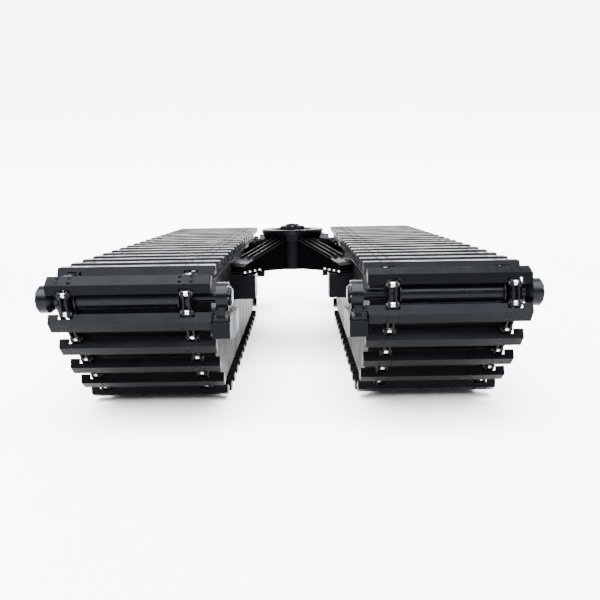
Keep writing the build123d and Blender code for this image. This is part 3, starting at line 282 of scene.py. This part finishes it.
def lathe(bm, profile, place, sides):
    """Closed solid turned about local Z from (radius, height) points, the first and last on the axis."""
    rings = []
    for radius, height in profile:
        if radius:
            rings.append([bm.verts.new(place @ Vector((radius * cos(2 * pi * i / sides),
                                                       radius * sin(2 * pi * i / sides), height)))
                          for i in range(sides)])
        else:
            rings.append([bm.verts.new(place @ Vector((0, 0, height)))] * sides)
    for low, high in zip(rings, rings[1:]):
        for i in range(sides):
            j = (i + 1) % sides
            corners = list(dict.fromkeys((low[i], low[j], high[j], high[i])))
            bm.faces.new(corners)


def facing(point, axis):
    """Place whose local Z points along an axis."""
    turn = Vector((0, 0, 1)).rotation_difference(Vector(axis))
    return Matrix.Translation(point) @ turn.to_matrix().to_4x4()


def hex_bolt(bm, place, size):
    """Washer and chamfered hex head, size being the head's corner radius."""
    washer = ((0, 0), (1.35, 0), (1.35, 0.14), (1.28, 0.2), (0, 0.2))
    lathe(bm, [(r * size, z * size) for r, z in washer], place, 20)
    head = ((0, 0), (1, 0), (1, 0.58), (0.86, 0.72), (0, 0.72))
    on_washer = place @ Matrix.Translation((0, 0, 0.2 * size))
    lathe(bm, [(r * size, z * size) for r, z in head], on_washer, 6)


def bead(bm, points, radius, out):
    """Rippled weld bead along a run of points; out is the way it bulges."""
    out = Vector(out).normalized()
    runs = [Vector(p) for p in points]
    for start, end in zip(runs, runs[1:]):
        along = (end - start).normalized()
        across = along.cross(out).normalized()
        steps = max(2, int((end - start).length / (0.7 * radius)))
        rings = []
        for i in range(steps + 1):
            swell = radius * (1.0 + 0.16 * (1 if i % 2 else -1))
            centre = start.lerp(end, i / steps)
            rings.append([bm.verts.new(centre + swell * (cos(a) * across + sin(a) * out))
                          for a in (2 * pi * k / 8 for k in range(8))])
        for low, high in zip(rings, rings[1:]):
            for k in range(8):
                bm.faces.new((low[k], low[(k + 1) % 8], high[(k + 1) % 8], high[k]))
        bm.faces.new(rings[0][::-1])
        bm.faces.new(rings[-1])


# Ring of bolts on each deck hatch.
bm = bmesh.new()
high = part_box("deck_hatches")[1]
HATCH_R = 0.19
HATCH_Y = (-2.2, 0.0, 2.2)
HATCH_BOLTS = 12
HATCH_BOLT_CIRCLE = 0.172
HATCH_BOLT_SIZE = 0.009
hatch_x = high.x - HATCH_R
for sign in SIDES.values():
    for y in HATCH_Y:
        for i in range(HATCH_BOLTS):
            angle = 2 * pi * i / HATCH_BOLTS
            x = sign * hatch_x + HATCH_BOLT_CIRCLE * cos(angle)
            spot = (x, y + HATCH_BOLT_CIRCLE * sin(angle), high.z)
            hex_bolt(bm, Matrix.Translation(spot), HATCH_BOLT_SIZE)
finished("hatch_bolts", bm, "chassis", BOLT)

# Flange bolts of the legs get hex heads over their plain studs.
bm = bmesh.new()
SOCKET = Vector((0.640, 1.150, 1.308))
REACH = SOCKET.xy.length
HULL_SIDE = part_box("right_hull_tub")[0].x
FLANGE_BOLT_X = (-0.175, -0.060, 0.060, 0.175)
FLANGE_BOLT_Y = 0.134
FLANGE_BOLT_SIZE = 0.020
CORNERS = ((1, 1), (1, -1), (-1, 1), (-1, -1))
for way in CORNERS:
    along = Vector((way[0] * SOCKET.x, way[1] * SOCKET.y, 0)) / REACH
    beside = Vector((-along.y, along.x, 0))
    for distance in FLANGE_BOLT_X:
        for shift in (-FLANGE_BOLT_Y, FLANGE_BOLT_Y):
            spot = (REACH + distance) * along + shift * beside
            if abs(spot.x) > HULL_SIDE - 1.25 * FLANGE_BOLT_SIZE:
                continue
            hex_bolt(bm, Matrix.Translation((spot.x, spot.y, SOCKET.z)), FLANGE_BOLT_SIZE)
finished("flange_bolt_heads", bm, "chassis", BRIGHT)

# Weld beads: legs to pedestal, sockets to hulls.
bm = bmesh.new()
PEDESTAL_R = 0.3965
LEG_HALF = 0.125
LEG_WELD_Z = (1.25, 1.638)
SOCKET_WELD_X = 0.798
SOCKET_WELD_Y = (0.930, 1.370)
for way in CORNERS:
    along = Vector((way[0] * SOCKET.x, way[1] * SOCKET.y, 0)) / REACH
    beside = Vector((-along.y, along.x, 0))
    reach = (PEDESTAL_R ** 2 - LEG_HALF ** 2) ** 0.5 + 0.002
    for shift in (-1, 1):
        foot = reach * along + shift * (LEG_HALF + 0.002) * beside
        seam = [(foot.x, foot.y, z) for z in LEG_WELD_Z]
        bead(bm, seam, 0.008, along + shift * beside)
for side, sign in SIDES.items():
    low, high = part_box(f"{side}_frame_sockets")
    wall = sign * SOCKET_WELD_X
    for way in (-1, 1):
        for y in SOCKET_WELD_Y:
            seam = [(wall, way * y, low.z + 0.01), (wall, way * y, high.z - 0.01)]
            bead(bm, seam, 0.009, (-sign, 0, 0))
finished("weld_beads", bm, "chassis", FRAME_PAINT, smooth=True)

# Fittings on the swivel's ports.
bm = bmesh.new()
PORTS = 8
PORT_Z = 1.821
PORT_REACH = 0.126
TOP_FITTINGS = 6
TOP_CIRCLE = 0.072
TOP_Z = 1.848
for i in range(PORTS):
    angle = 2 * pi * i / PORTS
    ray = Vector((cos(angle), sin(angle), 0))
    place = facing(Vector((0, 0, PORT_Z)) + PORT_REACH * ray, ray)
    nut = [(0, 0), (0.0250, 0), (0.0270, 0.003), (0.0270, 0.019), (0.0250, 0.022), (0, 0.022)]
    lathe(bm, nut, place, 6)
    lathe(bm, [(0, 0.022), (0.0235, 0.022), (0.0235, 0.036), (0.0222, 0.038), (0, 0.038)], place, 24)
for i in range(TOP_FITTINGS):
    angle = 2 * pi * i / TOP_FITTINGS
    spot = Vector((TOP_CIRCLE * cos(angle), TOP_CIRCLE * sin(angle), TOP_Z))
    lathe(bm, [(0, 0), (0.0245, 0), (0.0255, 0.002), (0.0255, 0.012), (0.0240, 0.015), (0, 0.015)],
          Matrix.Translation(spot), 6)
finished("swivel_fittings", bm, "swivel_joint", CAST)

# Grease nipples in the idler covers.
IDLER_AXLE = (-3.5893, 1.356)
for side, sign in SIDES.items():
    bm = bmesh.new()
    cover_low, cover_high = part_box(f"{side}_idler_covers")
    dome_x = cover_low.x if sign > 0 else cover_high.x
    centre = Vector((dome_x + sign * 0.017, *IDLER_AXLE))
    lathe(bm, [(0, 0), (0.0062, 0), (0.0062, 0.006), (0.0030, 0.008), (0.0030, 0.012), (0.0042, 0.014),
               (0.0030, 0.016), (0, 0.016)], facing(centre, (-sign, 0, 0)), 12)
    finished(f"{side}_grease_nipple", bm, f"{side}_idler_carriage", BRIGHT, smooth=True)

# ---- studio -------------------------------------------------------------------------------------


def studio_material(name, tone):
    sh = Shader(name)
    sh.link(sh.mix(sh.span(sh.noise(0.7, 3.0), 0.3, 0.7), tone, tuple(0.985 * c for c in tone)),
            sh.bsdf.inputs["Base Color"])
    sh.bsdf.inputs["Roughness"].default_value = 0.9
    sh.bsdf.inputs["Specular IOR Level"].default_value = 0.1
    return sh.material


# Floor that sweeps up into a backdrop far behind.
bm = bmesh.new()
HALF_WIDTH, NEAR, FAR, SWEEP, TOP = 45.0, -30.0, 30.0, 8.0, 30.0
profile = [(NEAR, 0.0), (FAR, 0.0)]
profile += [(FAR + SWEEP * sin(radians(a)), SWEEP * (1 - cos(radians(a)))) for a in range(10, 91, 10)]
profile += [(FAR + SWEEP, TOP)]
rows = [[bm.verts.new((x, y, z)) for x in (-HALF_WIDTH, HALF_WIDTH)] for y, z in profile]
for low, high in zip(rows, rows[1:]):
    bm.faces.new((low[0], low[1], high[1], high[0]))
mesh = bpy.data.meshes.new("floor")
bm.to_mesh(mesh)
bm.free()
floor = bpy.data.objects.new("floor", mesh)
bpy.context.scene.collection.objects.link(floor)
for face in mesh.polygons:
    face.use_smooth = True
dress(floor, studio_material("pale floor", (0.90, 0.90, 0.90)))

world = bpy.data.worlds.new("studio")
bpy.context.scene.world = world
world.use_nodes = True
background = world.node_tree.nodes["Background"]
background.inputs["Color"].default_value = (0.95, 0.97, 1.0, 1.0)
background.inputs["Strength"].default_value = 0.9


def softbox(name, place, target, size, power, colour):
    light = bpy.data.lights.new(name, "AREA")
    light.shape = "RECTANGLE"
    light.size, light.size_y = size
    light.energy = power
    light.color = colour
    lamp = bpy.data.objects.new(name, light)
    lamp.location = place
    lamp.rotation_euler = (Vector(target) - Vector(place)).to_track_quat("-Z", "Y").to_euler()
    bpy.context.scene.collection.objects.link(lamp)


softbox("overhead", (0, 1.0, 9.0), (0, 0, 0), (10.0, 12.0), 900, (0.82, 0.91, 1.0))
softbox("key", (-7.0, -6.0, 6.0), (0, -2, 1), (4.0, 4.0), 500, (1.0, 0.98, 0.95))


def soft_sun(name, direction, strength, spread):
    """Even light from far off, soft enough to have no hard shadow."""
    light = bpy.data.lights.new(name, "SUN")
    light.energy = strength
    light.angle = radians(spread)
    lamp = bpy.data.objects.new(name, light)
    lamp.rotation_euler = Vector(direction).to_track_quat("-Z", "Y").to_euler()
    bpy.context.scene.collection.objects.link(lamp)


soft_sun("room_light", (0.05, 0.45, -1.0), 30.0, 70)

CAMERA_PLACE = Vector((0.098, -9.89, 2.348))
PITCH = radians(9.35)
ROLL = radians(-0.91)
right = Vector((1, 0, 0))
up = Vector((0, sin(PITCH), cos(PITCH)))
ahead = Vector((0, cos(PITCH), -sin(PITCH)))
cam_x = right * cos(ROLL) + up * sin(ROLL)
cam_y = -right * sin(ROLL) + up * cos(ROLL)
camera = bpy.data.objects.new("camera", bpy.data.cameras.new("camera"))
camera.data.lens = 39.65
camera.data.sensor_width = 36.0
camera.data.clip_end = 200.0
turned = Matrix((cam_x, cam_y, -ahead)).transposed().to_4x4()
camera.matrix_world = Matrix.Translation(CAMERA_PLACE) @ turned
bpy.context.scene.collection.objects.link(camera)
bpy.context.scene.camera = camera
